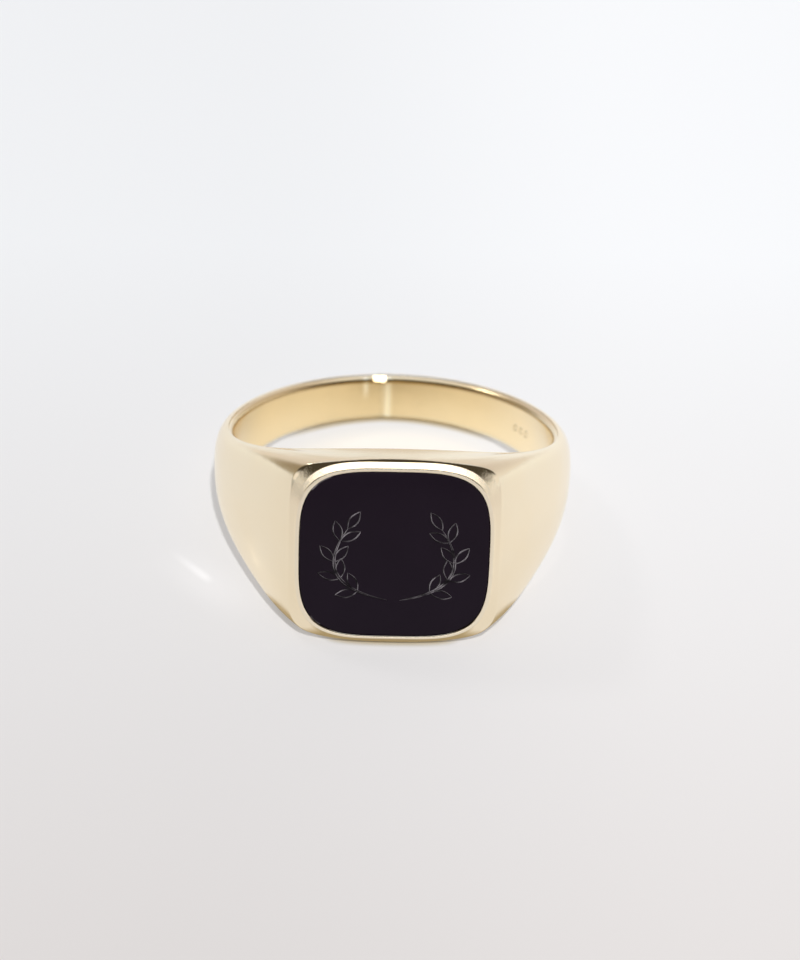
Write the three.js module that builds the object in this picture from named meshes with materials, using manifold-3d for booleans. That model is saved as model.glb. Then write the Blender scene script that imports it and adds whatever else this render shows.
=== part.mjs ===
// Signet ring with a flat cushion-shaped black tablet in a thin gold collar.
// Units are millimetres, +Z up. The finger bore runs along Z, the signet face looks along -Y
// and +X is to the right of a viewer who faces the tablet. The origin is the centre of the
// ring's bounding box, so the bore's axis stands BORE_Y behind it.
import * as THREE from 'three';
import { mergeVertices } from 'three/addons/utils/BufferGeometryUtils.js';
import Module from 'manifold-3d';

// Band and head, measured from the bore's axis.
const BORE_RADIUS = 9.1;
const BAND_RADIUS = 10.25;
const FACE_DISTANCE = 11.15;
const HEAD_HALF_HEIGHT = 5.58;
const BACK_HALF_HEIGHT = 1.44;
const BORE_EDGE_TAPER = 0.035;
const BORE_EDGE_RADIUS = 0.2;

// How the shoulders rise out of the band and how the section changes round the ring.
const SHOULDER_RISE = 3.3;
const SHOULDER_SPREAD = THREE.MathUtils.degToRad(38.1);
const SHOULDER_SHARPNESS = 2.4;
const HEAD_SHARE = 0.75;
const HEAD_FADE = 6.6;
const BAND_FADE = 2;
const SQUARENESS_FADE = 8;
const HEAD_SQUARENESS = 4.8;
const BACK_SQUARENESS = 2.1;
const HEAD_WALL = 0.55;
const BACK_WALL = 0.2;

// Signet face. A cushion outline is a superellipse, and the tablet's sits a little below centre.
const FACE = { halfWidth: 5.43, halfHeight: 5.46, squareness: 3.9, middle: 0 };
const TABLET = { halfWidth: 5.13, halfHeight: 4.97, squareness: 3.7, middle: -0.13 };
const TABLET_CHAMFER = 0.06;
const TABLET_THICKNESS = 1.1;
const CEMENT_THICKNESS = 0.12;
const COLLAR_WALL = 0.2;
const COLLAR_PROUD = 0.05;
const COLLAR_ROUND = 0.05;
const FACE_BEVEL = THREE.MathUtils.degToRad(26);
const POCKET_DEPTH = 1.3;
const FIT_GAP = 0.02;

// Sizing cut through the back of the band, closed with solder.
const SEAM_ANGLE = THREE.MathUtils.degToRad(-176.5);
const SEAM_WIDTH = 0.24;
const SEAM_GAP = 0.01;
const SEAM_SLAB = 6;

// Engraved sprigs.
const GROOVE_HALF_WIDTH = 0.055;
const GROOVE_DEPTH = 0.05;
const LEAF_LENGTH = 1.25;
const LEAF_HALF_WIDTH = 0.24;
const LEAF_SPREAD = THREE.MathUtils.degToRad(38);
const LEAF_PAIRS = 4;
const STEM = [[0.35, -2.9], [4.7, -2.05], [2.55, 1.4]];

// Fineness of the faceted surfaces. Stations crowd towards the head.
const STATIONS = 80;
const STATION_CROWDING = 0.5;
const CROWN_STEPS = 18;
const BORE_STEPS = 4;
const CUSHION_STEPS = 56;
const ARC_STEPS = 3;
const STEM_STEPS = 6;

const BORE_Y = (FACE_DISTANCE + COLLAR_PROUD - BAND_RADIUS) / 2;
const OUTSIDE = 14;

const wasm = await Module();
wasm.setup();

const power = (base, exponent) => Math.sign(base) * Math.abs(base) ** exponent;

function toManifold(geometry) {
  const merged = mergeVertices(geometry);
  return new wasm.Manifold(new wasm.Mesh({
    numProp: 3,
    vertProperties: new Float32Array(merged.attributes.position.array),
    triVerts: new Uint32Array(merged.index.array),
  }));
}

function toGeometry(solid) {
  const mesh = solid.getMesh();
  const geometry = new THREE.BufferGeometry();
  geometry.setAttribute('position', new THREE.BufferAttribute(mesh.vertProperties, 3));
  geometry.setIndex(new THREE.BufferAttribute(mesh.triVerts, 1));
  return geometry;
}

// Skin over a row of equal rings of points, closed on itself or capped at both ends.
function loft(rings, closed) {
  const count = rings[0].length;
  const spans = closed ? rings.length : rings.length - 1;
  const index = [];
  for (let i = 0; i < spans; i += 1) {
    const here = i * count;
    const next = ((i + 1) % rings.length) * count;
    for (let j = 0; j < count; j += 1) {
      const k = (j + 1) % count;
      index.push(here + j, next + j, next + k, here + j, next + k, here + k);
    }
  }
  const points = rings.flat(2);
  if (!closed) {
    const last = (rings.length - 1) * count;
    for (let j = 1; j < count - 1; j += 1) {
      index.push(0, j, j + 1, last, last + j + 1, last + j);
    }
  }
  const geometry = new THREE.BufferGeometry();
  geometry.setAttribute('position', new THREE.Float32BufferAttribute(points, 3));
  geometry.setIndex(index);
  return geometry;
}

// Half-height, outline radius and squareness of the section at an angle from the face.
function station(angle) {
  const nearness = Math.abs(Math.cos(angle / 2));
  const swell = HEAD_SHARE * nearness ** HEAD_FADE + (1 - HEAD_SHARE) * nearness ** BAND_FADE;
  const shoulder = Math.exp(-((Math.abs(angle) / SHOULDER_SPREAD) ** SHOULDER_SHARPNESS));
  return {
    halfHeight: BACK_HALF_HEIGHT + (HEAD_HALF_HEIGHT - BACK_HALF_HEIGHT) * swell,
    depth: BAND_RADIUS + SHOULDER_RISE * shoulder - BORE_RADIUS,
    squareness: BACK_SQUARENESS + (HEAD_SQUARENESS - BACK_SQUARENESS) * nearness ** SQUARENESS_FADE,
    wall: BACK_WALL + (HEAD_WALL - BACK_WALL) * nearness ** HEAD_FADE,
  };
}

// Closed section as [distance from the bore wall, height], crown first, then the bore.
function section(angle) {
  const { halfHeight, depth, squareness, wall } = station(angle);
  const foot = wall * depth;
  const edge = halfHeight * (1 - BORE_EDGE_TAPER);
  const points = [];
  for (let i = 0; i <= CROWN_STEPS; i += 1) {
    const turn = (i / CROWN_STEPS - 0.5) * Math.PI;
    const rise = power(Math.cos(turn), 2 / squareness);
    points.push([foot + (depth - foot) * rise, halfHeight * power(Math.sin(turn), 2 / squareness)]);
  }
  for (const turn of [0, Math.PI / 4, Math.PI / 2]) {
    const drop = BORE_EDGE_RADIUS * (1 - Math.cos(turn));
    points.push([BORE_EDGE_RADIUS * (1 - Math.sin(turn)), edge - drop]);
  }
  const flat = edge - BORE_EDGE_RADIUS;
  for (let i = 1; i < BORE_STEPS; i += 1) {
    points.push([0, flat * (1 - 2 * i / BORE_STEPS)]);
  }
  for (const turn of [Math.PI / 2, Math.PI / 4, 0]) {
    const drop = BORE_EDGE_RADIUS * (1 - Math.cos(turn));
    points.push([BORE_EDGE_RADIUS * (1 - Math.sin(turn)), drop - edge]);
  }
  return points;
}

function bandRing(i) {
  const even = (2 * i / STATIONS - 1) * Math.PI;
  const angle = even - STATION_CROWDING * Math.sin(even);
  return section(angle).map(([out, z]) => {
    const radius = BORE_RADIUS + out;
    return [radius * Math.sin(angle), BORE_Y - radius * Math.cos(angle), z];
  });
}

function cushionRing({ halfWidth, halfHeight, squareness, middle }, depth, grow) {
  const ring = [];
  for (let i = 0; i < CUSHION_STEPS; i += 1) {
    const turn = 2 * Math.PI * (i + 0.5) / CUSHION_STEPS;
    const x = (halfWidth + grow) * power(Math.cos(turn), 2 / squareness);
    const z = (halfHeight + grow) * power(Math.sin(turn), 2 / squareness);
    ring.push([x, BORE_Y - FACE_DISTANCE + depth, middle + z]);
  }
  return ring;
}

// Solid through one cushion outline at several levels, each a [depth behind the face, growth].
function cushionSolid(outline, levels) {
  return loft(levels.map(([depth, grow]) => cushionRing(outline, depth, grow)), false);
}

// Flat slab through the back of the band, square to the band at the seam.
function seamSlab(width) {
  const box = new THREE.BoxGeometry(width, SEAM_SLAB, SEAM_SLAB);
  box.deleteAttribute('normal');
  box.deleteAttribute('uv');
  box.translate(0, -BAND_RADIUS, 0);
  box.rotateZ(SEAM_ANGLE);
  box.translate(0, BORE_Y, 0);
  return toManifold(box);
}

// Everything the finished head may fill: the face outline, bevelled back to clear the shoulders.
function headEnvelope() {
  const reach = OUTSIDE - FACE.halfWidth;
  const slope = Math.tan(FACE_BEVEL);
  return toManifold(cushionSolid(FACE, [[0, 0], [reach * slope, reach], [2 * OUTSIDE, reach]]));
}

function pocket() {
  const grow = COLLAR_WALL + 2 * FIT_GAP;
  return toManifold(cushionSolid(TABLET, [[-POCKET_DEPTH, grow], [POCKET_DEPTH, grow]]));
}

// One straight cut of V section along the tablet's face.
function grooveCut([x0, z0], [x1, z1]) {
  const length = Math.hypot(x1 - x0, z1 - z0) + GROOVE_HALF_WIDTH;
  const wedge = new THREE.Shape([
    new THREE.Vector2(0, GROOVE_DEPTH),
    new THREE.Vector2(-2 * GROOVE_HALF_WIDTH, -GROOVE_DEPTH),
    new THREE.Vector2(2 * GROOVE_HALF_WIDTH, -GROOVE_DEPTH),
  ]);
  const cut = new THREE.ExtrudeGeometry(wedge, { depth: length, bevelEnabled: false });
  cut.deleteAttribute('normal');
  cut.deleteAttribute('uv');
  cut.translate(0, 0, -length / 2);
  cut.rotateY(Math.atan2(x1 - x0, z1 - z0));
  cut.translate((x0 + x1) / 2, BORE_Y - FACE_DISTANCE, (z0 + z1) / 2);
  return toManifold(cut);
}

// Polyline of one leaf: out along one side of a lens shape and back along the other.
function leafOutline([x, z], heading) {
  const outline = [];
  for (let i = 0; i <= 2 * ARC_STEPS; i += 1) {
    const along = 1 - Math.abs(1 - i / ARC_STEPS);
    const side = Math.sign(ARC_STEPS - i) * LEAF_HALF_WIDTH * Math.sin(Math.PI * along);
    const out = LEAF_LENGTH * along;
    outline.push([
      x + out * Math.sin(heading) + side * Math.cos(heading),
      z + out * Math.cos(heading) - side * Math.sin(heading),
    ]);
  }
  return outline;
}

// Polylines of one sprig: a curved stem, leaves in pairs along it and one at its tip.
function sprig(mirror) {
  const [root, bend, tip] = STEM.map(([x, z]) => new THREE.Vector2(mirror * x, z));
  const stem = new THREE.QuadraticBezierCurve(root, bend, tip);
  const lines = [stem.getPoints(STEM_STEPS).map((p) => [p.x, p.y])];
  for (let i = 1; i <= LEAF_PAIRS; i += 1) {
    const place = i / (LEAF_PAIRS + 0.5);
    const point = stem.getPoint(place);
    const run = stem.getTangent(place);
    const heading = Math.atan2(run.x, run.y);
    lines.push(leafOutline([point.x, point.y], heading - LEAF_SPREAD));
    lines.push(leafOutline([point.x, point.y], heading + LEAF_SPREAD));
  }
  const end = stem.getTangent(1);
  lines.push(leafOutline([tip.x, tip.y], Math.atan2(end.x, end.y)));
  return lines;
}

function engraving() {
  const cuts = [...sprig(1), ...sprig(-1)].flatMap((line) => (
    line.slice(1).map((point, i) => grooveCut(line[i], point))
  ));
  return cuts.reduce((sum, cut) => sum.add(cut));
}

function tabletGeometry() {
  const levels = [[0, -TABLET_CHAMFER], [TABLET_CHAMFER, 0], [TABLET_THICKNESS, 0]];
  const blank = toManifold(cushionSolid(TABLET, levels));
  return toGeometry(blank.subtract(engraving()));
}

function cementGeometry() {
  const top = TABLET_THICKNESS + FIT_GAP;
  return cushionSolid(TABLET, [[top, -COLLAR_WALL], [top + CEMENT_THICKNESS, -COLLAR_WALL]]);
}

// Thin wall that stands in the pocket and rounds over at its lip.
function collarGeometry() {
  const inner = FIT_GAP;
  const outer = FIT_GAP + COLLAR_WALL;
  const lip = -COLLAR_PROUD;
  const floor = POCKET_DEPTH - FIT_GAP;
  const profile = [
    [floor, inner],
    [lip + COLLAR_ROUND, inner],
    [lip, inner + COLLAR_ROUND],
    [lip, outer - COLLAR_ROUND],
    [lip + COLLAR_ROUND, outer],
    [floor, outer],
  ];
  return loft(profile.map(([depth, grow]) => cushionRing(TABLET, depth, grow)), true);
}

const band = toManifold(loft(Array.from({ length: STATIONS }, (_, i) => bandRing(i)), true));
const sizingCut = seamSlab(SEAM_WIDTH + 2 * SEAM_GAP);
const body = band.intersect(headEnvelope()).subtract(pocket()).subtract(sizingCut);
const seam = band.intersect(seamSlab(SEAM_WIDTH));

const gold = { color: 0xe9cf94, metalness: 1, roughness: 0.16 };
const group = new THREE.Group();

function addPiece(name, geometry, looks) {
  const piece = new THREE.Mesh(geometry, new THREE.MeshStandardMaterial(looks));
  piece.name = name;
  group.add(piece);
}

addPiece('ring_body', toGeometry(body), gold);
addPiece('bezel_collar', collarGeometry(), { ...gold, roughness: 0.1 });
addPiece('onyx_tablet', tabletGeometry(), { color: 0x1b161b, metalness: 0, roughness: 0.12 });
addPiece('cement_bed', cementGeometry(), { color: 0x35322f, metalness: 0, roughness: 0.6 });
addPiece('sizing_solder_seam', toGeometry(seam), { ...gold, color: 0xeedcae });

export default group;
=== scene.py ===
import math

import bmesh
import bpy
import numpy as np
from mathutils import Matrix, Vector


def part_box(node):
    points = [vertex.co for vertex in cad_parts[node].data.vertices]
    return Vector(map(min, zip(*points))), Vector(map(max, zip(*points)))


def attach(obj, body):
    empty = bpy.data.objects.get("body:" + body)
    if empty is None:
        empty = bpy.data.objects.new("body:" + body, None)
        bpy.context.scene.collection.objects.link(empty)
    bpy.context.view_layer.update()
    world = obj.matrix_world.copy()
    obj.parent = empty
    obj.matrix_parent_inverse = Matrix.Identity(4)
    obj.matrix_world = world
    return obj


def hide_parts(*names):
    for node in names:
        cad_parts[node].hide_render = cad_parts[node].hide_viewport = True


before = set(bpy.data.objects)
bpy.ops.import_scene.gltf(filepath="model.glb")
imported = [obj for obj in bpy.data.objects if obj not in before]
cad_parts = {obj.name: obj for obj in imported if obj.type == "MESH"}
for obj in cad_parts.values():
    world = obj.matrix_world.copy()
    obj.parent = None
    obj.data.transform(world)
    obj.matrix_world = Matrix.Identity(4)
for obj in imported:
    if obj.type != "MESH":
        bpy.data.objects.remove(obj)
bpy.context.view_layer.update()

# Lengths are in metres, in the CAD's frame: the finger bore runs along Z, the face looks along -Y.
MM = 0.001
BODY_LOW, BODY_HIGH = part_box("ring_body")
COLLAR_LOW, COLLAR_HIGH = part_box("bezel_collar")
TABLET_LOW, TABLET_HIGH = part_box("onyx_tablet")
CEMENT_LOW, CEMENT_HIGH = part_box("cement_bed")
SEAM_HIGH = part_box("sizing_solder_seam")[1]

# Band and head. Radii are measured from the bore's axis.
BAND_RADIUS = 10.25 * MM
BORE_RADIUS = 9.1 * MM
BORE_Y = BODY_HIGH.y - BAND_RADIUS
FACE_Y = BODY_LOW.y
HEAD_HALF_HEIGHT = 5.58 * MM
BACK_HALF_HEIGHT = SEAM_HIGH.z
HEAD_FADE = 6.6
HEAD_FADE_SHARE = 0.75
BACK_SQUARENESS = 2.1
HEAD_SQUARENESS = 4.8
SQUARENESS_FADE = 8
BACK_FOOT = 0.2
HEAD_FOOT = 0.55
EDGE_TAPER = 0.035
EDGE_RADIUS = 0.3 * MM
BORE_BARREL = 0.05 * MM
SHOULDER_RISE = 3.3 * MM
SHOULDER_SPREAD = math.radians(38.1)
SHOULDER_SHARPNESS = 2.4

# Signet face.
# An outline is a superellipse: half-width, half-height, squareness and the height of its middle.
FACE = (5.43 * MM, 5.42 * MM, 3.9, 0.0)
TABLET_MIDDLE = (TABLET_HIGH.z + TABLET_LOW.z) / 2
TABLET = (TABLET_HIGH.x, TABLET_HIGH.z - TABLET_MIDDLE, 3.7, TABLET_MIDDLE)
FACE_BEVEL = math.radians(26)
LAND_DROP = 0.065 * MM
EDGE_SOFTNESS = 0.09
FIT_GAP = 0.02 * MM
COLLAR_WALL = 0.2 * MM
COLLAR_PROUD = FACE_Y - COLLAR_LOW.y
LIP_RADIUS = 0.06 * MM
TABLET_RADIUS = 0.06 * MM
CEMENT_ROUNDING = 0.03 * MM
POCKET_DEPTH = COLLAR_HIGH.y - FACE_Y + FIT_GAP

# Sizing seam.
SEAM_ANGLE = math.radians(183.5)
SEAM_HALF_ANGLE = 0.12 * MM / BAND_RADIUS
SEAM_GAP_ANGLE = 0.01 * MM / BAND_RADIUS
SEAM_WEAR = 0.25
SEAM_WEAR_REACH = 0.5 * MM

# Painted highlight streaks and the worn facet beside the seam, measured round the bore from its back.
RUN_AT = (-1.75 * MM, -0.24 * MM)
RUN_HALF_WIDTH = (0.33 * MM, 0.42 * MM)
RUN_FOOT = -0.2 * MM
RUN_HEAD = 0.9 * MM
FACET_AT = -0.80 * MM
FACET_HALF_WIDTH = 0.75 * MM
FACET_DROP = (0.45 * MM, 0.25 * MM)
FACET_LEAN = (-0.35, -0.45, 0.82)

# Punch marks, measured round the bore from its back.
PUNCH_START = math.radians(54) * BAND_RADIUS
PUNCH_SPACING = 0.62 * MM
PUNCH_RADIUS = 0.17 * MM

# Fineness.
SIDE_STEPS = 80
PATCH_ROWS = 26
PATCH_HALF_ANGLE = math.radians(50)
BORE_STEPS = 32
LIP_POINTS = 5
CROWN_SHARE = 0.6
BORE_ROUND_SHARE = 0.25
ARC_STEP = math.radians(0.8)


# ---------------------------------------------------------------- shape of the band and head


def edge_radius(angle):
    """The bore's edge is rubbed rounder where the sizing seam crosses it."""
    along = (angle % (2 * math.pi) - SEAM_ANGLE) * BAND_RADIUS
    return EDGE_RADIUS * (1 + SEAM_WEAR * np.exp(-((along / SEAM_WEAR_REACH) ** 2)))


def station(angle):
    """Half-height, depth, squareness, foot and bore edge radius at an angle from the face."""
    nearness = np.abs(np.cos(angle / 2))
    swell = HEAD_FADE_SHARE * nearness**HEAD_FADE + (1 - HEAD_FADE_SHARE) * nearness**2
    near_angle = np.abs((angle + math.pi) % (2 * math.pi) - math.pi)
    shoulder = np.exp(-((near_angle / SHOULDER_SPREAD) ** SHOULDER_SHARPNESS))
    half_height = BACK_HALF_HEIGHT + (HEAD_HALF_HEIGHT - BACK_HALF_HEIGHT) * swell
    depth = BAND_RADIUS - BORE_RADIUS + SHOULDER_RISE * shoulder
    squareness = BACK_SQUARENESS + (HEAD_SQUARENESS - BACK_SQUARENESS) * nearness**SQUARENESS_FADE
    foot = depth * (BACK_FOOT + (HEAD_FOOT - BACK_FOOT) * nearness**HEAD_FADE)
    radius = edge_radius(angle)
    return half_height, depth, squareness, np.maximum(foot, 1.1 * radius), radius


def place(angle, out, z):
    """Points at an angle round the bore, a distance out from its wall and a height."""
    radius = BORE_RADIUS + out
    x = radius * np.sin(angle)
    y = BORE_Y - radius * np.cos(angle)
    return np.stack(np.broadcast_arrays(x, y, z), -1)


def skin(angle, run):
    """Outer surface: run goes from -1 at the lower bore edge, over the crown, to 1 at the upper."""
    half_height, depth, squareness, foot, radius = station(angle)
    along = np.abs(run)
    turn = np.minimum(along / CROWN_SHARE, 1) * math.pi / 2
    across = np.abs(np.cos(turn))
    up = np.sin(turn)
    norm = (across**squareness + up**squareness) ** (1 / squareness)
    down = np.clip((along - CROWN_SHARE) / (1 - CROWN_SHARE), 0, 1)
    out = np.where(
        along < CROWN_SHARE,
        foot + (depth - foot) * across / norm,
        foot + (radius - foot) * down,
    )
    ease = down * down * (3 - 2 * down)
    z = half_height * np.where(along < CROWN_SHARE, up / norm, 1 - EDGE_TAPER * ease)
    return place(angle, out, z * np.sign(run))


def inner(angle, run):
    """Bore surface with its rounded edges: run goes from 1 at the upper edge to -1 at the lower."""
    half_height, _, _, _, radius = station(angle)
    edge = half_height * (1 - EDGE_TAPER)
    along = np.abs(run)
    turn = np.clip((1 - along) / BORE_ROUND_SHARE, 0, 1) * math.pi / 2
    flat = np.clip(along / (1 - BORE_ROUND_SHARE), 0, 1)
    out = radius * (1 - np.sin(turn)) + BORE_BARREL * along**2 * np.cos(turn)
    z = np.where(
        along > 1 - BORE_ROUND_SHARE,
        edge - radius * (1 - np.cos(turn)),
        (edge - radius) * flat,
    )
    return place(angle, out, z * np.sign(run))


def wall_height(angle, out):
    """Half-height of the solid at a distance out from the bore's wall."""
    half_height, depth, squareness, foot, radius = station(angle)
    down = np.clip((foot - out) / (foot - radius), 0, 1)
    ease = down * down * (3 - 2 * down)
    over = np.clip((out - foot) / (depth - foot), 0, 1)
    crown = (1 - over**squareness) ** (1 / squareness)
    return half_height * np.where(out > foot, crown, 1 - EDGE_TAPER * ease)


def cushion(outline, grow, depth, turns):
    """Points of a cushion outline that has grown, a depth behind the face."""
    half_width, half_height, squareness, middle = outline
    across = np.cos(turns)
    up = np.sin(turns)
    norm = (np.abs(across) ** squareness + np.abs(up) ** squareness) ** (1 / squareness)
    x = (half_width + grow) * across / norm
    z = middle + (half_height + grow) * up / norm
    return np.stack(np.broadcast_arrays(x, FACE_Y + depth, z), -1)


BEVEL_REACH = 2.5 * MM
BISECTIONS = 40
TURNS = -math.pi / 4 + np.arange(4 * SIDE_STEPS) * (math.pi / 2 / SIDE_STEPS)


def bevel_depths():
    """How deep the face's bevel reaches at each turn before it leaves the head."""
    low = np.full_like(TURNS, LAND_DROP)
    high = np.full_like(TURNS, BEVEL_REACH)
    for _ in range(BISECTIONS):
        middle = (low + high) / 2
        angle, out, z = bevel_point(middle)
        inside = np.abs(z) < wall_height(angle, out)
        low = np.where(inside, middle, low)
        high = np.where(inside, high, middle)
    return low


def bevel_point(depth):
    points = cushion(FACE, (depth - LAND_DROP) / math.tan(FACE_BEVEL), depth, TURNS)
    x = points[:, 0]
    y = points[:, 1] - BORE_Y
    return np.arctan2(x, -y), np.hypot(x, y) - BORE_RADIUS, points[:, 2]


def bevel_run(angle, out, z):
    """Where points of the outer surface lie along skin's run."""
    half_height, depth, _, foot, radius = station(angle)
    turn = np.arctan2(np.abs(z) / half_height, np.maximum(out - foot, 0) / (depth - foot))
    down = np.clip((foot - out) / (foot - radius), 0, 1)
    beyond = CROWN_SHARE + (1 - CROWN_SHARE) * down
    along = np.where(out > foot, CROWN_SHARE * turn / (math.pi / 2), beyond)
    return along * np.sign(z)


# ---------------------------------------------------------------- mesh building


class Skin:
    """Collects patches of quads, then merges them into one mesh."""

    def __init__(self):
        self.bm = bmesh.new()

    def rows(self, points, closed=False):
        """Quads over a grid of points, given row by row."""
        made = [[self.bm.verts.new(p) for p in row] for row in points]
        count = len(made[0])
        for a, b in zip(made, made[1:]):
            for j in range(count if closed else count - 1):
                k = (j + 1) % count
                self.bm.faces.new((a[j], a[k], b[k], b[j]))
        return made

    def cap(self, verts):
        self.bm.faces.new(verts)

    def mesh(self, name, sharp=math.radians(75)):
        bmesh.ops.remove_doubles(self.bm, verts=self.bm.verts, dist=1e-7)
        bmesh.ops.recalc_face_normals(self.bm, faces=self.bm.faces)
        made = bpy.data.meshes.new(name)
        self.bm.to_mesh(made)
        self.bm.free()
        made.polygons.foreach_set("use_smooth", [True] * len(made.polygons))
        made.set_sharp_from_angle(angle=sharp)
        return made


def add_piece(name, mesh, node, material):
    piece = bpy.data.objects.new(name, mesh)
    bpy.context.scene.collection.objects.link(piece)
    mesh.materials.clear()
    mesh.materials.append(material)
    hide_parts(node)
    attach(piece, "root")


# ---------------------------------------------------------------- pieces


def arc_angles(start, end):
    return np.linspace(start, end, max(2, round((end - start) / ARC_STEP) + 1))


def body_mesh():
    skin_of = Skin()
    spread = np.tan(np.linspace(-math.pi / 4, math.pi / 4, SIDE_STEPS + 1))
    gap = SEAM_HALF_ANGLE + SEAM_GAP_ANGLE
    arcs = [
        arc_angles(PATCH_HALF_ANGLE, SEAM_ANGLE - gap),
        arc_angles(SEAM_ANGLE + gap, 2 * math.pi - PATCH_HALF_ANGLE),
    ]
    bore_run = np.linspace(1, -1, BORE_STEPS + 1)
    for angles in arcs:
        outer = skin(angles[:, None], spread[None, :])
        bore = inner(angles[:, None], bore_run[None, :])
        loop = np.concatenate([outer, bore[:, 1:-1]], 1)
        rings = skin_of.rows(loop, closed=True)
        end = 0 if angles is arcs[1] else -1
        skin_of.cap(rings[end])
    skin_of.rows(inner(PATCH_HALF_ANGLE * spread[:, None], bore_run[None, :]))
    head_patch(skin_of)
    return skin_of.mesh("ring_body_gold")


def head_patch(skin_of):
    """Outer skin from the bevel's outer line to the patch's border, then bevel, ledge and pocket."""
    depth = bevel_depths()
    angle, out, z = bevel_point(depth)
    run = bevel_run(angle, out, z)
    widest = np.maximum(np.abs(np.cos(TURNS)), np.abs(np.sin(TURNS)))
    border_angle = PATCH_HALF_ANGLE * np.cos(TURNS) / widest
    border_run = np.sin(TURNS) / widest
    rows = []
    for share in np.linspace(0, 1, PATCH_ROWS + 1) ** 1.3:
        rows.append(skin(angle + (border_angle - angle) * share, run + (border_run - run) * share))
    skin_of.rows(rows, closed=True)
    rim = skin(angle, run)
    face = cushion(FACE, 0, LAND_DROP, TURNS)
    shares = (0, EDGE_SOFTNESS, 0.5, 1 - EDGE_SOFTNESS, 1)
    skin_of.rows([rim + (face - rim) * share for share in shares], closed=True)
    grow = COLLAR_WALL + 2 * FIT_GAP
    pocket = [cushion(TABLET, grow, d, TURNS) for d in (0, POCKET_DEPTH / 2, POCKET_DEPTH)]
    land = pocket[0] - face
    skin_of.rows([face, face + land * EDGE_SOFTNESS, face + land * 0.6, pocket[0]], closed=True)
    walls = skin_of.rows(pocket, closed=True)
    skin_of.cap(walls[-1])


def seam_mesh():
    """Solder between the band's two ends, flush with the band's skin and bore."""
    skin_of = Skin()
    spread = np.tan(np.linspace(-math.pi / 4, math.pi / 4, SIDE_STEPS + 1))
    angles = np.linspace(SEAM_ANGLE - SEAM_HALF_ANGLE, SEAM_ANGLE + SEAM_HALF_ANGLE, 9)
    outer = skin(angles[:, None], spread[None, :])
    bore = inner(angles[:, None], np.linspace(1, -1, BORE_STEPS + 1)[None, :])
    rings = skin_of.rows(np.concatenate([outer, bore[:, 1:-1]], 1), closed=True)
    skin_of.cap(rings[0])
    skin_of.cap(rings[-1])
    return skin_of.mesh("sizing_solder")


def collar_mesh():
    """Thin wall round the tablet. Its lip is burnished down on to the pocket's rim."""
    skin_of = Skin()
    floor = POCKET_DEPTH - FIT_GAP
    outer = COLLAR_WALL + 2 * FIT_GAP
    profile = [(floor, FIT_GAP)]
    for turn in np.linspace(0, math.pi / 2, LIP_POINTS):
        profile.append((
            LIP_RADIUS * (1 - math.sin(turn)) - COLLAR_PROUD,
            FIT_GAP + LIP_RADIUS * (1 - math.cos(turn)),
        ))
    for turn in np.linspace(0, math.pi / 2, LIP_POINTS):
        profile.append((
            COLLAR_PROUD * (1 - math.cos(turn)) - COLLAR_PROUD,
            outer - COLLAR_PROUD * (1 - math.sin(turn)),
        ))
    profile.append((floor, outer))
    rows = [cushion(TABLET, grow, depth, TURNS) for depth, grow in profile]
    skin_of.rows(rows + rows[:1], closed=True)
    return skin_of.mesh("bezel_collar_gold")


def tablet_blank():
    skin_of = Skin()
    thickness = TABLET_HIGH.y - TABLET_LOW.y
    rows = []
    for turn in np.linspace(0, math.pi / 2, LIP_POINTS):
        inset = TABLET_RADIUS * (1 - math.sin(turn))
        rows.append(cushion(TABLET, -inset, TABLET_RADIUS * (1 - math.cos(turn)), TURNS))
    rows.append(cushion(TABLET, 0, thickness, TURNS))
    made = skin_of.rows(rows, closed=True)
    skin_of.cap(made[0])
    skin_of.cap(made[-1])
    return skin_of.mesh("onyx_table", ENGRAVING_SHARP)


def cement_mesh():
    skin_of = Skin()
    outline = (CEMENT_HIGH.x, (CEMENT_HIGH.z - CEMENT_LOW.z) / 2, TABLET[2], TABLET[3])
    front = CEMENT_LOW.y - FACE_Y
    back = CEMENT_HIGH.y - FACE_Y
    soft = CEMENT_ROUNDING
    levels = [(front, -soft), (front + soft, 0), (back - soft, 0), (back, -soft)]
    made = skin_of.rows([cushion(outline, grow, d, TURNS) for d, grow in levels], closed=True)
    skin_of.cap(made[0])
    skin_of.cap(made[-1])
    return skin_of.mesh("cement_layer")


# ---------------------------------------------------------------- engraving

LEAF_LENGTH = 1.25 * MM
LEAF_HALF_WIDTH = 0.24 * MM
LEAF_SPREAD = math.radians(38)
LEAF_PAIRS = 4
STEM = [Vector((0.35, -2.9)) * MM, Vector((4.7, -2.05)) * MM, Vector((2.55, 1.4)) * MM]
STEM_SPREAD = 0.06 * MM
STEM_STEPS = 24
LEAF_STEPS = 12
GROOVE_HALF_WIDTH = 0.06 * MM
GROOVE_DEPTH = 0.05 * MM
GROOVE_END = 0.45
ENGRAVING_SHARP = math.radians(20)


def stem_point(place_on, mirror):
    """Point and unit heading on the stem's quadratic curve."""
    root, bend, tip = ([mirror * p.x, p.y] for p in STEM)
    root, bend, tip = Vector(root), Vector(bend), Vector(tip)
    point = root * (1 - place_on) ** 2 + bend * 2 * place_on * (1 - place_on) + tip * place_on**2
    heading = (bend - root) * (1 - place_on) + (tip - bend) * place_on
    return point, heading.normalized()


def stem_strokes(mirror):
    """Two hairlines that part in the middle and meet at both ends."""
    strokes = []
    for side in (-1, 1):
        stroke = []
        for t in np.linspace(0, 1, STEM_STEPS + 1):
            point, heading = stem_point(t, mirror)
            offset = STEM_SPREAD * math.sin(math.pi * t) * side
            stroke.append(point + Vector((heading.y, -heading.x)) * offset)
        strokes.append(stroke)
    return strokes


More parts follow.
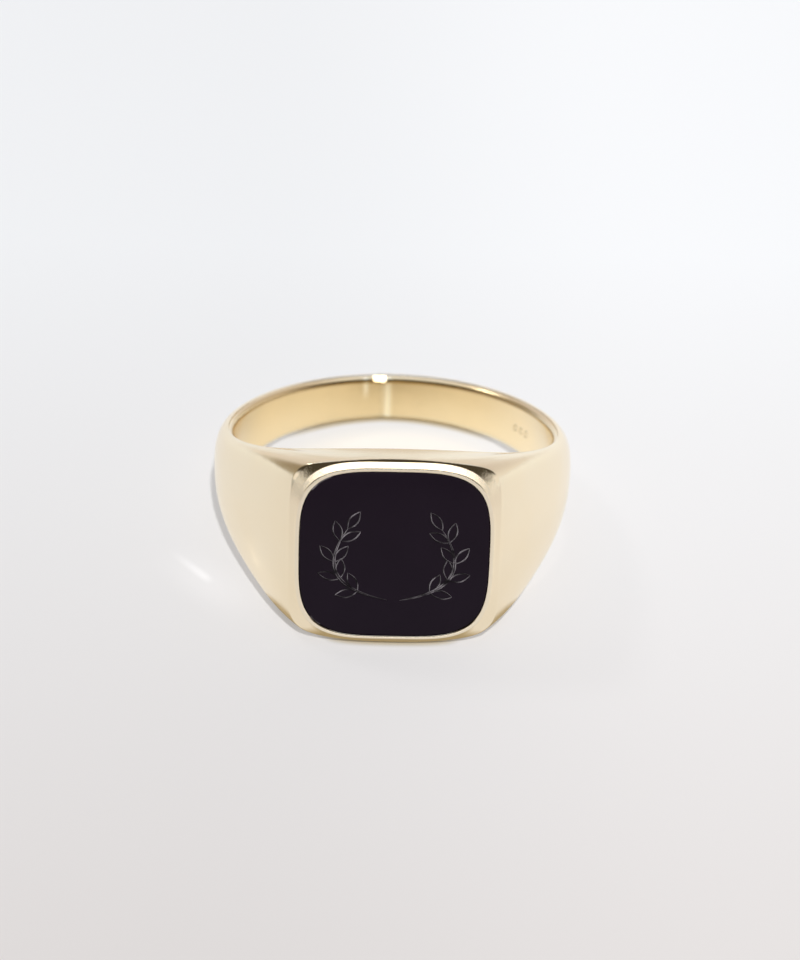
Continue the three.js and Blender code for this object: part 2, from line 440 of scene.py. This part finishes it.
def leaf_strokes(point, angle):
    """The two sides of one lens-shaped leaf that points along an angle from up."""
    ahead = Vector((math.sin(angle), math.cos(angle)))
    aside = Vector((math.cos(angle), -math.sin(angle)))
    strokes = []
    for side in (-1, 1):
        stroke = []
        for t in np.linspace(0, 1, LEAF_STEPS + 1):
            bow = side * LEAF_HALF_WIDTH * math.sin(math.pi * t)
            stroke.append(point + ahead * LEAF_LENGTH * t + aside * bow)
        strokes.append(stroke)
    return strokes


def sprig_strokes(mirror):
    strokes = stem_strokes(mirror)
    for i in range(1, LEAF_PAIRS + 1):
        point, heading = stem_point(i / (LEAF_PAIRS + 0.5), mirror)
        angle = math.atan2(heading.x, heading.y)
        strokes += leaf_strokes(point, angle - LEAF_SPREAD)
        strokes += leaf_strokes(point, angle + LEAF_SPREAD)
    point, heading = stem_point(1.0, mirror)
    return strokes + leaf_strokes(point, math.atan2(heading.x, heading.y))


def stroke_cutter(bm, stroke):
    """Closed V-section sweep along a stroke, swelling in the middle as a graver's cut does."""
    rings = []
    last = len(stroke) - 1
    for i, point in enumerate(stroke):
        ahead = (stroke[min(i + 1, last)] - stroke[max(i - 1, 0)]).normalized()
        aside = Vector((ahead.y, -ahead.x))
        swell = GROOVE_END + (1 - GROOVE_END) * math.sqrt(math.sin(math.pi * i / last))
        half = 2 * GROOVE_HALF_WIDTH * swell
        deep = GROOVE_DEPTH * swell
        left, right = point - aside * half, point + aside * half
        corners = [
            (point.x, FACE_Y + deep, point.y),
            (left.x, FACE_Y - deep, left.y),
            (right.x, FACE_Y - deep, right.y),
        ]
        rings.append([bm.verts.new(c) for c in corners])
    for a, b in zip(rings, rings[1:]):
        for j in range(3):
            k = (j + 1) % 3
            bm.faces.new((a[j], a[k], b[k], b[j]))
    bm.faces.new(rings[0])
    bm.faces.new(rings[-1])


def tablet_mesh():
    bm = bmesh.new()
    for stroke in sprig_strokes(1) + sprig_strokes(-1):
        stroke_cutter(bm, stroke)
    bmesh.ops.recalc_face_normals(bm, faces=bm.faces)
    cut_mesh = bpy.data.meshes.new("cuts")
    bm.to_mesh(cut_mesh)
    bm.free()
    cutter = bpy.data.objects.new("cuts", cut_mesh)
    blank = bpy.data.objects.new("blank", tablet_blank())
    for o in (cutter, blank):
        bpy.context.scene.collection.objects.link(o)
    boolean = blank.modifiers.new("engraving", "BOOLEAN")
    boolean.object = cutter
    boolean.operation = "DIFFERENCE"
    boolean.solver = "EXACT"
    boolean.use_self = True
    graph = bpy.context.evaluated_depsgraph_get()
    made = bpy.data.meshes.new_from_object(blank.evaluated_get(graph))
    for o in (cutter, blank):
        bpy.data.objects.remove(o)
    made.polygons.foreach_set("use_smooth", [True] * len(made.polygons))
    made.set_sharp_from_angle(angle=ENGRAVING_SHARP)
    return made


# ---------------------------------------------------------------- materials


# Colours are linear. Noise scales are waves per metre, along each axis where there are three.
BODY_COLOUR = (0.98, 0.87, 0.665, 1)
COLLAR_COLOUR = (0.96, 0.87, 0.70, 1)
SOLDER_COLOUR = (0.95, 0.86, 0.68, 1)
# The bore's colours are painted shade and light: deeper towards its upper edge and back, paler below,
# to one side and in streaks beside the seam.
SOLDER_BORE_SHADE_COLOUR = (0.84, 0.69, 0.42, 1)
BORE_UPPER_SHADE_COLOUR = (0.74, 0.58, 0.33, 1)
BORE_LOWER_LIT_COLOUR = (0.92, 0.775, 0.505, 1)
BORE_SIDE_LIT_COLOUR = (0.98, 0.90, 0.72, 1)
BORE_BACK_SHADE_COLOUR = (0.68, 0.52, 0.27, 1)
RUN_HIGHLIGHT_COLOUR = (1.0, 0.92, 0.67, 1)
HAIR_WAVES = (250, 9000, 9000)
CROSS_HAIR_WAVES = (6000, 700, 1500)
FILE_MARK_WAVES = (9000, 0, 5200)
POLISH_WAVES = 420
DENT_WAVES = 1500
TINT_WAVES = 300
DENT_SMEAR = 0.10
BORE_SATIN = 0.06
FACE_POLISH = 0.6
FACE_POLISH_DEPTH = 0.4 * MM
CORNER_START = 3.6 * MM
CORNER_END = 4.3 * MM
ONYX_DARK = (0.006, 0.0026, 0.007, 1)
ONYX_CLOUD = (0.0095, 0.0046, 0.011, 1)
GROOVE_SHADED = (0.010, 0.008, 0.010, 1)
GROOVE_FROST_LIT = (0.24, 0.22, 0.24, 1)
CEMENT_DARK = (0.03, 0.028, 0.026, 1)
CEMENT_LIGHT = (0.08, 0.075, 0.07, 1)


class Nodes:
    """Short way to write the node tree of a material or a world: add nodes, set inputs, link."""

    def __init__(self, material):
        material.use_nodes = True
        self.tree = material.node_tree
        self.tree.nodes.clear()

    def add(self, kind, settings=None, **inputs):
        node = self.tree.nodes.new(kind)
        for key, value in (settings or {}).items():
            setattr(node, key, value)
        for key, value in inputs.items():
            self.feed(node, key.replace("_", " "), value)
        return node

    def feed(self, node, key, value):
        """Set or link an input, named by its label or as i0, i1 and so on by its place."""
        by_place = key[0] == "i" and key[1:].isdigit()
        socket = node.inputs[int(key[1:]) if by_place else key]
        if isinstance(value, bpy.types.NodeSocket):
            self.tree.links.new(value, socket)
        else:
            socket.default_value = value

    def math(self, operation, a, b=0.0, clamp=False):
        node = self.add("ShaderNodeMath", {"operation": operation, "use_clamp": clamp}, i0=a, i1=b)
        return node.outputs[0]

    def split(self, coordinates):
        """The X, Y and Z of a vector."""
        node = self.add("ShaderNodeSeparateXYZ", Vector=coordinates)
        return [node.outputs[axis] for axis in "XYZ"]

    def rest(self, value):
        """1 less a value."""
        return self.math("SUBTRACT", 1.0, value)

    def noise(self, coordinates, scale, detail=3.0, rough=0.5):
        node = self.add("ShaderNodeTexNoise", Vector=coordinates, Scale=scale, Detail=detail)
        self.feed(node, "Roughness", rough)
        return node.outputs["Fac"]

    def scaled(self, coordinates, scale):
        node = self.add("ShaderNodeMapping", Vector=coordinates, Scale=scale)
        return node.outputs["Vector"]

    def finish(self, shader, kind="ShaderNodeOutputMaterial"):
        """Show a shader on the surface."""
        self.feed(self.add(kind), "Surface", shader.outputs[0])

    def bump(self, height, distance, strength, normal=None):
        node = self.add("ShaderNodeBump", Height=height, Distance=distance, Strength=strength)
        if normal is not None:
            self.feed(node, "Normal", normal)
        return node.outputs["Normal"]


def length(n, a, b):
    """Length of a flat vector."""
    return n.math("SQRT", n.math("ADD", n.math("MULTIPLY", a, a), n.math("MULTIPLY", b, b)))


def ring_coordinates(n):
    """Object coordinates, and the same unrolled round the bore: metres round, out and up."""
    place_of = n.add("ShaderNodeTexCoord").outputs["Object"]
    x, y, z = n.split(place_of)
    y = n.math("SUBTRACT", y, BORE_Y)
    round_about = n.math("MULTIPLY", n.math("ARCTAN2", x, y), BAND_RADIUS)
    out = length(n, x, y)
    joined = n.add("ShaderNodeCombineXYZ", X=round_about, Y=out, Z=z)
    return place_of, joined.outputs[0]


def mix(n, share, one, other):
    """Colour between two colours."""
    node = n.add("ShaderNodeMix", {"data_type": "RGBA"}, i0=share)
    n.feed(node, "i6", one)
    n.feed(node, "i7", other)
    return node.outputs[2]


def ramp(n, value, low, high):
    """Smooth rise from 0 at one value to 1 at another."""
    node = n.add("ShaderNodeMapRange", {"interpolation_type": "SMOOTHSTEP"}, Value=value)
    n.feed(node, "From Min", low)
    n.feed(node, "From Max", high)
    return node.outputs[0]


def file_marks(n, place_of):
    """Short marks across the flat land at the face's corners, where the collar was trimmed."""
    x, y, z = n.split(place_of)
    marks = n.noise(n.scaled(place_of, FILE_MARK_WAVES), 1.0, 4.0, 0.75)
    reach = n.math("MULTIPLY", n.math("ABSOLUTE", x), n.math("ABSOLUTE", z))
    corner = ramp(n, reach, CORNER_START**2, CORNER_END**2)
    upper = ramp(n, z, 0.0, 3.0 * MM)
    front = n.math("LESS_THAN", y, FACE_Y + 0.25 * MM)
    shown = n.math("MULTIPLY", n.math("MULTIPLY", corner, upper), front)
    return n.math("MULTIPLY", marks, shown)


def punch_marks(n, unrolled):
    """Three small ring-shaped punch marks in a row on the bore's wall. They hold no lettering."""
    round_about, out, height = n.split(unrolled)
    along = n.math("SUBTRACT", round_about, PUNCH_START)
    step = n.math("PINGPONG", along, PUNCH_SPACING / 2)
    away = n.math("ABSOLUTE", n.math("SUBTRACT", length(n, step, height), PUNCH_RADIUS))
    ring = n.rest(ramp(n, away, 0.02 * MM, 0.07 * MM))
    off_middle = n.math("ABSOLUTE", n.math("SUBTRACT", along, PUNCH_SPACING))
    within = n.math("LESS_THAN", off_middle, 1.5 * PUNCH_SPACING)
    inside = n.math("LESS_THAN", out, BORE_RADIUS + EDGE_RADIUS)
    return n.math("MULTIPLY", ring, n.math("MULTIPLY", within, inside))


def bump_of(n, value, middle, half_width):
    """1 where a value is at the middle, falling softly to 0 a half-width away."""
    away = n.math("ABSOLUTE", n.math("SUBTRACT", value, middle))
    return n.rest(ramp(n, away, 0.0, half_width))


def seam_highlight_streaks(n, unrolled):
    """Two soft pale streaks down the bore's wall beside the sizing seam: painted highlights."""
    round_about, _, height = n.split(unrolled)
    high = ramp(n, height, RUN_FOOT, RUN_HEAD)
    upper = n.math("MULTIPLY", bump_of(n, round_about, RUN_AT[0], RUN_HALF_WIDTH[0]), high)
    return n.math("MAXIMUM", upper, bump_of(n, round_about, RUN_AT[1], RUN_HALF_WIDTH[1]))


def worn_facet(n, unrolled, normal):
    """Small flat worn on the bore's upper edge at the seam. It leans so that it catches the lamp."""
    round_about, out, height = n.split(unrolled)
    across = bump_of(n, round_about, FACET_AT, FACET_HALF_WIDTH)
    high = ramp(n, height, BACK_HALF_HEIGHT - FACET_DROP[0], BACK_HALF_HEIGHT - FACET_DROP[1])
    inner_edge = n.math("LESS_THAN", out, BORE_RADIUS + EDGE_RADIUS)
    share = n.math("MULTIPLY", across, n.math("MULTIPLY", high, inner_edge))
    node = n.add("ShaderNodeMix", {"data_type": "VECTOR"}, i0=ramp(n, share, 0.15, 0.5))
    n.feed(node, "i4", normal)
    n.feed(node, "i5", FACET_LEAN)
    return n.add("ShaderNodeVectorMath", {"operation": "NORMALIZE"}, i0=node.outputs[1]).outputs[0]


def bore_painted_shade(n, unrolled, upper_shade_colour):
    """Deep gold as painted shade, with painted light below and to one side, painted shade at the back
    and painted highlight streaks beside the seam.
    """
    round_about, _, height = n.split(unrolled)
    # Painted shade towards the bore's upper edge, painted light towards its lower edge.
    level = ramp(n, height, -BACK_HALF_HEIGHT, BACK_HALF_HEIGHT)
    shade = mix(n, level, BORE_LOWER_LIT_COLOUR, upper_shade_colour)
    # Painted light: the bore's wall is painted paler towards one side.
    pale = ramp(n, round_about, 5 * MM, 12 * MM)
    pale = n.math("MULTIPLY", pale, n.rest(ramp(n, round_about, 17 * MM, 30 * MM)))
    shade = mix(n, n.math("MULTIPLY", pale, 0.6), shade, BORE_SIDE_LIT_COLOUR)
    # Painted shade: the bore is darker at its back.
    back = bump_of(n, round_about, -1.5 * MM, 8 * MM)
    shade = mix(n, n.math("MULTIPLY", back, 0.5), shade, BORE_BACK_SHADE_COLOUR)
    # Painted highlights: pale streaks down the bore beside the seam.
    return mix(n, seam_highlight_streaks(n, unrolled), shade, RUN_HIGHLIGHT_COLOUR)


def gold(name, colour, bore_shade_colour, roughness, brushed):
    """Pale gold with fine hairline scratches along the polish, soft waves and small dents.

    The bore's deeper, yellower gold is painted shade and bounced light; the bore is also more satin
    than the outside, and the face is polished brighter.
    """
    material = bpy.data.materials.new(name)
    n = Nodes(material)
    place_of, unrolled = ring_coordinates(n)
    hairs = n.noise(n.scaled(unrolled, HAIR_WAVES), 1.0, 2.0)
    cross = n.noise(n.scaled(place_of, CROSS_HAIR_WAVES), 1.0, 2.0)
    waves = n.noise(place_of, POLISH_WAVES, 2.0)
    dents = n.noise(place_of, DENT_WAVES, 3.0)
    tint = n.noise(place_of, TINT_WAVES, 2.0)

    # Painted shade: the bore gets a deeper, yellower gold than the outside, for the shade and bounced
    # gold light inside it.
    outside = ramp(n, n.split(unrolled)[1], BORE_RADIUS + 0.1 * MM, BORE_RADIUS + 0.3 * MM)
    shade = mix(n, outside, bore_painted_shade(n, unrolled, bore_shade_colour), colour)
    deeper = [c * c for c in colour[:3]] + [1]
    shade = mix(n, n.math("MULTIPLY", tint, 0.35), shade, deeper)

    scatter = n.math("MULTIPLY", n.math("SUBTRACT", hairs, 0.5), brushed)
    smear = n.math("MULTIPLY", n.math("SUBTRACT", dents, 0.5), DENT_SMEAR)
    satin = n.math("MULTIPLY", n.rest(outside), BORE_SATIN)
    rough = n.math("ADD", n.math("ADD", scatter, smear), n.math("ADD", satin, roughness), clamp=True)
    front = n.math("LESS_THAN", n.split(place_of)[1], FACE_Y + FACE_POLISH_DEPTH)
    rough = n.math("MULTIPLY", rough, n.rest(n.math("MULTIPLY", front, FACE_POLISH)))

    normal = n.bump(waves, 0.05 * MM, 0.30)
    normal = n.bump(dents, 0.006 * MM, 0.35, normal)
    normal = n.bump(hairs, 0.0015 * MM, 0.5, normal)
    normal = n.bump(cross, 0.001 * MM, 0.3, normal)
    normal = n.bump(file_marks(n, place_of), 0.05 * MM, 0.22, normal)
    normal = n.bump(punch_marks(n, unrolled), -0.03 * MM, 0.8, normal)
    normal = worn_facet(n, unrolled, normal)
    shader = n.add("ShaderNodeBsdfPrincipled", Metallic=1.0, Roughness=rough, Normal=normal)
    n.feed(shader, "Base Color", shade)
    n.finish(shader)
    return material


def engraved(n, place_of):
    """1 inside the engraved grooves, 0 on the table and on the tablet's edges."""
    x, y, z = n.split(place_of)
    below = n.math("SUBTRACT", y, FACE_Y + 0.002 * MM)
    cut = n.math("MULTIPLY", below, 1 / (0.006 * MM), clamp=True)
    shallow = n.math("LESS_THAN", below, GROOVE_DEPTH * 1.1)
    reach = n.math("MAXIMUM", n.math("ABSOLUTE", x), n.math("ABSOLUTE", z))
    within = n.math("LESS_THAN", reach, TABLET[1] - 0.5 * MM)
    return n.math("MULTIPLY", n.math("MULTIPLY", cut, shallow), within)


def onyx():
    """Black polished stone; the engraving is frosted, painted lit and grey on the walls that face left
    and painted shaded and dark on the others.
    """
    material = bpy.data.materials.new("onyx_polished")
    n = Nodes(material)
    place_of = n.add("ShaderNodeTexCoord").outputs["Object"]
    groove = engraved(n, place_of)
    body = mix(n, n.noise(place_of, 350, 3.0), ONYX_DARK, ONYX_CLOUD)
    # Painted light and shade: groove walls facing left are painted lit, the others shaded.
    facing = n.split(n.add("ShaderNodeNewGeometry").outputs["True Normal"])[0]
    lit = ramp(n, n.math("MULTIPLY", facing, -1.0), -0.15, 0.5)
    lit = n.math("MULTIPLY", lit, ramp(n, n.noise(place_of, 1400, 2.0), 0.3, 0.6))
    colour = mix(n, groove, body, mix(n, lit, GROOVE_SHADED, GROOVE_FROST_LIT))
    wipe = n.noise(n.scaled(place_of, (500, 500, 2500)), 1.0, 3.0)
    rough = n.math("ADD", n.math("MULTIPLY", wipe, 0.12), 0.10)
    rough = n.math("ADD", rough, n.math("MULTIPLY", groove, 0.35))
    normal = n.bump(n.noise(place_of, 900, 2.0), 0.004 * MM, 0.3)
    shader = n.add("ShaderNodeBsdfPrincipled", Roughness=rough, Normal=normal, IOR=1.54)
    n.feed(shader, "Specular IOR Level", 0.10)
    n.feed(shader, "Base Color", colour)
    n.finish(shader)
    return material


def cement():
    """Dull dark grey setting cement with a fine grain."""
    material = bpy.data.materials.new("setting_cement")
    n = Nodes(material)
    grain = n.noise(n.add("ShaderNodeTexCoord").outputs["Object"], 4000, 4.0)
    normal = n.bump(grain, 0.02 * MM, 0.6)
    shader = n.add("ShaderNodeBsdfPrincipled", Roughness=0.6, Normal=normal)
    n.feed(shader, "Base Color", mix(n, grain, CEMENT_DARK, CEMENT_LIGHT))
    n.finish(shader)
    return material


# ---------------------------------------------------------------- stage

CAMERA_ELEVATION = math.radians(25.97)
CAMERA_TURN = math.radians(1.44)
CAMERA_ROLL = math.radians(1.73)
CAMERA_DISTANCE = 150 * MM
CAMERA_LENS = 97.4
CAMERA_OFFSET = (0.44 * MM, -0.95 * MM)
CAMERA_STOP = 48
FOCUS_DEPTH = 1.5 * MM

# Sky: how bright it looks and how much of it lights the floor; a dark shape ahead and above, a low
# bright window under it, and a soft brown patch at one side. Places are parts of a unit sphere.
SKY_SEEN = 0.93
SKY_FILL = 0.35
SKY_LOW = (0.92, 0.89, 0.87, 1)
SKY_HIGH = (0.73, 0.67, 0.645, 1)
SKY_OVERHEAD = (1.08, 1.14, 1.30, 1)
DARK_COLOUR = (0.065, 0.055, 0.04, 1)
DARK_HALF_WIDTH = 0.95
DARK_MIDDLE = 0.38
DARK_HALF_HEIGHT = 0.52
WINDOW_MIDDLE = -0.11
WINDOW_HALF_HEIGHT = 0.14
WINDOW_HALF_WIDTH = 0.44
WINDOW_COLOUR = (3.5, 3.5, 3.5, 1)
SIDE_TOWARDS = (-0.88, 0.13, 0.43)
SIDE_COLOUR = (0.20, 0.14, 0.04, 1)
SIDE_SHARE = 0.75
SIDE_EDGE = math.radians(46)
SIDE_CORE = math.radians(18)

# Floor: a white acrylic sheet that glows a little, so that only contact shadows stay.
FLOOR_SIZE = 4.0
FLOOR_NEAR = (0.755, 0.722, 0.71, 1)
FLOOR_FAR = (0.915, 0.932, 0.955, 1)
FLOOR_IN_BORE = (1.0, 0.96, 0.89, 1)
FLOOR_CLOSE = (0.75, 0.64, 0.44, 1)
FLOOR_DIFFUSE = 0.50
FLOOR_GLOW = 0.475
FAR_GLOW = -0.05
SIDE_GLOW = 0.085
BORE_GLEAM = 0.04
CONTACT_REACH = 0.4 * MM
CONTACT_SHADE = 0.75
HEAD_SHADE = 0.8
GLEAM_AT = (-10.6 * MM, -5.1 * MM)
GLEAM_TURN = math.radians(-47)
# Shade on the floor under the head, as seen and as mirrored: middle, half-width, half-depth and
# where it starts to fade.
SHADE_SEEN = (-7.4 * MM, 6.8 * MM, 3.5 * MM, 0.1)
SHADE_MIRRORED = (-8.0 * MM, 8.2 * MM, 3.9 * MM, 0.7)

# Lamps.
OVERHEAD_AT = (-0.31, 0.12, 0.47)
OVERHEAD_SIZE = 0.08
OVERHEAD_WATTS = 0.30
OVERHEAD_COLOUR = (1.0, 0.99, 0.97)
FRONT_TOWARDS = (0.045, -0.365, 0.355)
FRONT_STRENGTH = 2.68
FRONT_SPREAD = math.radians(2.5)
FRONT_COLOUR = (1.0, 0.99, 0.98)


def add_camera():
    away = Vector((
        -math.cos(CAMERA_ELEVATION) * math.sin(CAMERA_TURN),
        -math.cos(CAMERA_ELEVATION) * math.cos(CAMERA_TURN),
        math.sin(CAMERA_ELEVATION),
    ))
    level = Vector((math.cos(CAMERA_TURN), -math.sin(CAMERA_TURN), 0))
    above = away.cross(level)
    right = level * math.cos(CAMERA_ROLL) + above * math.sin(CAMERA_ROLL)
    up = above * math.cos(CAMERA_ROLL) - level * math.sin(CAMERA_ROLL)
    camera = bpy.data.objects.new("camera", bpy.data.cameras.new("camera"))
    bpy.context.scene.collection.objects.link(camera)
    spot = Vector((0, BORE_Y, 0)) + away * CAMERA_DISTANCE
    spot += right * CAMERA_OFFSET[0] + up * CAMERA_OFFSET[1]
    turn = Matrix((right, up, away)).transposed().to_4x4()
    camera.matrix_world = Matrix.Translation(spot) @ turn
    camera.data.lens = CAMERA_LENS
    camera.data.clip_start = 1 * MM
    focus = bpy.data.objects.new("focus", None)
    bpy.context.scene.collection.objects.link(focus)
    focus.location = (0, FACE_Y + FOCUS_DEPTH, 0)
    camera.data.dof.use_dof = True
    camera.data.dof.focus_object = focus
    camera.data.dof.aperture_fstop = CAMERA_STOP
    bpy.context.scene.camera = camera


def floor_plane():
    """Point and slope of the plane that the ring rests on: under its head and under its back."""
    angles = np.linspace(0, 2 * math.pi, 721)
    runs = np.linspace(-1, 0, 201)
    points = skin(angles[:, None], runs[None, :]).reshape(-1, 3)
    points = points[points[:, 1] > FACE_Y]
    front = points[points[:, 1] < BORE_Y - BORE_RADIUS / 2]
    back = points[points[:, 1] > BORE_Y + BORE_RADIUS / 2]
    slope = 0.2
    for _ in range(20):
        low_front = front[np.argmin(front[:, 2] - slope * front[:, 1])]
        low_back = back[np.argmin(back[:, 2] - slope * back[:, 1])]
        slope = (low_back[2] - low_front[2]) / (low_back[1] - low_front[1])
    return low_front, slope


def within_bore(n, x, y):
    """1 on the floor inside the ring, where the bore gathers the light."""
    away = length(n, x, n.math("SUBTRACT", y, BORE_Y))
    return n.rest(ramp(n, away, BORE_RADIUS - 2 * MM, BORE_RADIUS + 0.5 * MM))


def under_head(n, x, y, shade):
    """1 on the floor beneath the head, where little light reaches."""
    middle, half_width, half_depth, core = shade
    across = n.math("DIVIDE", x, half_width)
    along = n.math("DIVIDE", n.math("SUBTRACT", y, middle), half_depth)
    away = n.math("ADD", n.math("MULTIPLY", across, across), n.math("MULTIPLY", along, along))
    return n.rest(ramp(n, away, core, 1.0))


def gleam_on_floor(n, x, y):
    """Streak of light, in a haze, that the polished shoulder throws on the floor beside it."""
    across = n.math("SUBTRACT", x, GLEAM_AT[0])
    along = n.math("SUBTRACT", y, GLEAM_AT[1])
    ahead_x, ahead_y = math.cos(GLEAM_TURN), math.sin(GLEAM_TURN)
    u = n.math("ADD", n.math("MULTIPLY", across, ahead_x), n.math("MULTIPLY", along, ahead_y))
    v = n.math("SUBTRACT", n.math("MULTIPLY", across, ahead_y), n.math("MULTIPLY", along, ahead_x))
    core = n.math("MULTIPLY", ramp(n, u, -3.2 * MM, 0.0), n.rest(ramp(n, u, 0.0, 0.9 * MM)))
    core = n.math("MULTIPLY", core, bump_of(n, v, 0.0, 0.42 * MM))
    haze = n.math("MULTIPLY", bump_of(n, u, 0.6 * MM, 4.5 * MM), bump_of(n, v, 0.2 * MM, 2.2 * MM))
    return n.math("ADD", n.math("MULTIPLY", core, 0.14), n.math("MULTIPLY", haze, 0.06))


def floor_white():
    """Pale floor that cools and brightens with distance, with warm shade close to the gold."""
    material = bpy.data.materials.new("floor_white")
    n = Nodes(material)
    place_of = n.add("ShaderNodeTexCoord").outputs["Object"]
    x, y, _ = n.split(place_of)
    reach = length(n, x, y)
    mirrored = n.add("ShaderNodeLightPath").outputs["Is Glossy Ray"]
    open_sky = n.add("ShaderNodeAmbientOcclusion", {"samples": 8}, Distance=CONTACT_REACH).outputs["AO"]
    beneath = n.math("MULTIPLY", under_head(n, x, y, SHADE_MIRRORED), mirrored)
    beneath = n.math("MAXIMUM", beneath, under_head(n, x, y, SHADE_SEEN))

    far = n.math("ADD", n.math("MULTIPLY", y, 14.0), 0.6, clamp=True)
    far = n.math("MAXIMUM", far, ramp(n, reach, 0.08, 0.40))
    colour = mix(n, far, FLOOR_NEAR, FLOOR_FAR)
    colour = mix(n, within_bore(n, x, y), colour, FLOOR_IN_BORE)
    close = n.math("MAXIMUM", n.rest(ramp(n, open_sky, 0.3, 0.9)), beneath)
    colour = mix(n, close, colour, FLOOR_CLOSE)

    contact = n.math("ADD", n.math("MULTIPLY", open_sky, CONTACT_SHADE), 1 - CONTACT_SHADE)
    glow = n.math("MULTIPLY", FLOOR_GLOW, contact)
    glow = n.math("ADD", glow, n.math("MULTIPLY", ramp(n, reach, 0.015, 0.25), FAR_GLOW))
    glow = n.math("ADD", glow, n.math("MULTIPLY", ramp(n, x, -12 * MM, 20 * MM), SIDE_GLOW))
    ahead = n.math("MULTIPLY", ramp(n, reach, 0.05, 0.15), n.math("LESS_THAN", y, 0.0))
    aside = n.rest(ramp(n, n.math("DIVIDE", x, reach), 0.3, 0.6))
    ahead = n.math("MULTIPLY", n.math("MULTIPLY", ahead, aside), mirrored)
    shade = n.math("MULTIPLY", n.math("MAXIMUM", beneath, ahead), HEAD_SHADE)
    glow = n.math("MULTIPLY", glow, n.rest(shade))
    gleam = n.math("MULTIPLY", within_bore(n, x, y), BORE_GLEAM)
    gleam = n.math("ADD", gleam_on_floor(n, x, y), gleam)

    normal = n.bump(n.noise(place_of, 900, 4.0), 0.02 * MM, 0.25)
    shader = n.add("ShaderNodeBsdfPrincipled", Roughness=0.8, Normal=normal)
    n.feed(shader, "Specular IOR Level", 0.1)
    n.feed(shader, "Base Color", mix(n, FLOOR_DIFFUSE, (0, 0, 0, 1), colour))
    n.feed(shader, "Emission Color", colour)
    n.feed(shader, "Emission Strength", n.math("ADD", glow, gleam))
    n.finish(shader)
    return material


def add_floor():
    point, slope = floor_plane()
    corners = []
    for x, y in ((-1, -1), (1, -1), (1, 1), (-1, 1)):
        x, y = x * FLOOR_SIZE, y * FLOOR_SIZE
        corners.append((x, point[1] + y, point[2] + slope * y))
    mesh = bpy.data.meshes.new("floor")
    mesh.from_pydata(corners, [], [(0, 1, 2, 3)])
    mesh.materials.append(floor_white())
    floor = bpy.data.objects.new("floor", mesh)
    bpy.context.scene.collection.objects.link(floor)


def add_lamp(name, place_at, size, watts, colour):
    """Small square softbox that looks at the ring."""
    data = bpy.data.lights.new(name, "AREA")
    data.size = size
    data.energy = watts
    data.color = colour
    light = bpy.data.objects.new(name, data)
    bpy.context.scene.collection.objects.link(light)
    light.location = place_at
    light.rotation_euler = (-Vector(place_at)).to_track_quat("-Z", "Y").to_euler()


def add_sun(name, towards, strength, spread, colour):
    """Even light from one direction, which polished metal doesn't mirror."""
    data = bpy.data.lights.new(name, "SUN")
    data.energy = strength
    data.angle = spread
    data.color = colour
    light = bpy.data.objects.new(name, data)
    bpy.context.scene.collection.objects.link(light)
    light.rotation_euler = (-Vector(towards)).to_track_quat("-Z", "Y").to_euler()
    light.visible_glossy = False


def add_world():
    """White studio all round. The camera doesn't see the dark shape, the window or the side patch."""
    world = bpy.data.worlds.new("studio")
    bpy.context.scene.world = world
    n = Nodes(world)
    ray = n.add("ShaderNodeTexCoord").outputs["Generated"]
    x, y, z = n.split(ray)
    path = n.add("ShaderNodeLightPath")
    unseen = n.rest(path.outputs["Is Camera Ray"])
    ahead = n.math("MULTIPLY", n.math("LESS_THAN", y, 0.0), unseen)

    sky = mix(n, ramp(n, z, 0.0, 0.6), SKY_LOW, SKY_HIGH)
    sky = mix(n, ramp(n, z, 0.82, 0.95), sky, SKY_OVERHEAD)
    aside = n.add("ShaderNodeVectorMath", {"operation": "DOT_PRODUCT"}, i0=ray, i1=SIDE_TOWARDS)
    patch = ramp(n, aside.outputs["Value"], math.cos(SIDE_EDGE), math.cos(SIDE_CORE))
    patch = n.math("MULTIPLY", n.math("MULTIPLY", patch, SIDE_SHARE), unseen)
    sky = mix(n, patch, sky, SIDE_COLOUR)

    across = n.math("DIVIDE", x, DARK_HALF_WIDTH)
    above = n.math("DIVIDE", n.math("SUBTRACT", z, DARK_MIDDLE), DARK_HALF_HEIGHT)
    away = n.math("ADD", n.math("MULTIPLY", across, across), n.math("MULTIPLY", above, above))
    spot = n.math("MULTIPLY", n.rest(ramp(n, away, 0.75, 1.15)), ahead)
    sky = mix(n, spot, sky, DARK_COLOUR)

    window = bump_of(n, z, WINDOW_MIDDLE, WINDOW_HALF_HEIGHT)
    window = n.math("MULTIPLY", window, bump_of(n, x, 0.0, WINDOW_HALF_WIDTH))
    sky = mix(n, n.math("MULTIPLY", window, ahead), sky, WINDOW_COLOUR)

    lighting = n.math("MULTIPLY", path.outputs["Is Diffuse Ray"], SKY_FILL - SKY_SEEN)
    strength = n.math("ADD", lighting, SKY_SEEN)
    background = n.add("ShaderNodeBackground", Color=sky, Strength=strength)
    n.finish(background, "ShaderNodeOutputWorld")


# ---------------------------------------------------------------- the model

body_gold = gold("gold_body", BODY_COLOUR, BORE_UPPER_SHADE_COLOUR, 0.18, 0.10)
collar_gold = gold("gold_collar", COLLAR_COLOUR, BORE_UPPER_SHADE_COLOUR, 0.10, 0.06)
solder_gold = gold("gold_solder", SOLDER_COLOUR, SOLDER_BORE_SHADE_COLOUR, 0.16, 0.04)

add_piece("body_gold", body_mesh(), "ring_body", body_gold)
add_piece("collar_gold", collar_mesh(), "bezel_collar", collar_gold)
add_piece("onyx_engraved", tablet_mesh(), "onyx_tablet", onyx())
add_piece("cement_layer", cement_mesh(), "cement_bed", cement())
add_piece("solder_seam", seam_mesh(), "sizing_solder_seam", solder_gold)

add_camera()
add_floor()
add_world()
add_lamp("overhead", OVERHEAD_AT, OVERHEAD_SIZE, OVERHEAD_WATTS, OVERHEAD_COLOUR)
add_sun("front", FRONT_TOWARDS, FRONT_STRENGTH, FRONT_SPREAD, FRONT_COLOUR)

view = bpy.context.scene.view_settings
view.view_transform = "Standard"
view.look = "None"
